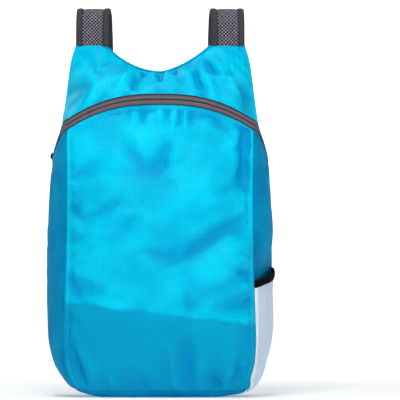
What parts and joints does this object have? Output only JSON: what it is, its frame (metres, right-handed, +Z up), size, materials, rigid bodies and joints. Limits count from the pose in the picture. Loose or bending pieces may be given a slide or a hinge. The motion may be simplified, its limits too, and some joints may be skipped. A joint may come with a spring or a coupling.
{
  "type": "packable backpack",
  "caption": "Light packable day backpack, filled and standing: arched zip, scooped neckline, padded shoulder straps and a mesh side pocket with elastic mouth.",
  "frame": {"origin": "on the ground under the middle of the whole part's box, straps included", "axes": "+Z up, -Y to the front of the bag, +X to the right of someone who looks at the front"},
  "size_m": [0.2744, 0.1918, 0.4682],
  "materials": {
    "ripstop_bright": "bright cyan-blue coated nylon ripstop with a soft sheen",
    "ripstop_dark": "the same coated nylon ripstop on the shaded side panels",
    "zip_tape": "woven grey polyester zip tape",
    "zip_coil": "dark nylon coil",
    "slider": "black lacquered zip slider",
    "pocket_mesh": "pale fine polyester mesh",
    "elastic": "black knitted elastic binding",
    "air_mesh": "charcoal spacer mesh with a diagonal lattice",
    "strap_binding": "charcoal woven binding tape",
    "webbing": "dark grey woven webbing",
    "buckle": "black moulded acetal"
  },
  "bodies": {
    "root": {"front_panel": "ripstop_bright", "side_gusset_left": "ripstop_dark", "side_gusset_right": "ripstop_dark", "bottom_band": "ripstop_dark", "base_panel": "ripstop_dark", "back_panel": "ripstop_bright", "top_yoke": "ripstop_bright", "zipper_tape_lower": "zip_tape", "zipper_tape_upper": "zip_tape", "zipper_coil": "zip_coil", "zipper_slider": "slider", "neckline_binding": "ripstop_dark", "pocket_mesh": "pocket_mesh", "pocket_elastic": "elastic", "strap_mesh_left": "air_mesh", "strap_binding_outer_left": "strap_binding", "strap_binding_inner_left": "strap_binding", "strap_loop_left": "webbing", "strap_adjuster_left": "buckle", "strap_webbing_left": "webbing", "corner_tab_left": "ripstop_dark", "strap_mesh_right": "air_mesh", "strap_binding_outer_right": "strap_binding", "strap_binding_inner_right": "strap_binding", "strap_loop_right": "webbing", "strap_adjuster_right": "buckle", "strap_webbing_right": "webbing", "corner_tab_right": "ripstop_dark"}
  },
  "joints": []
}
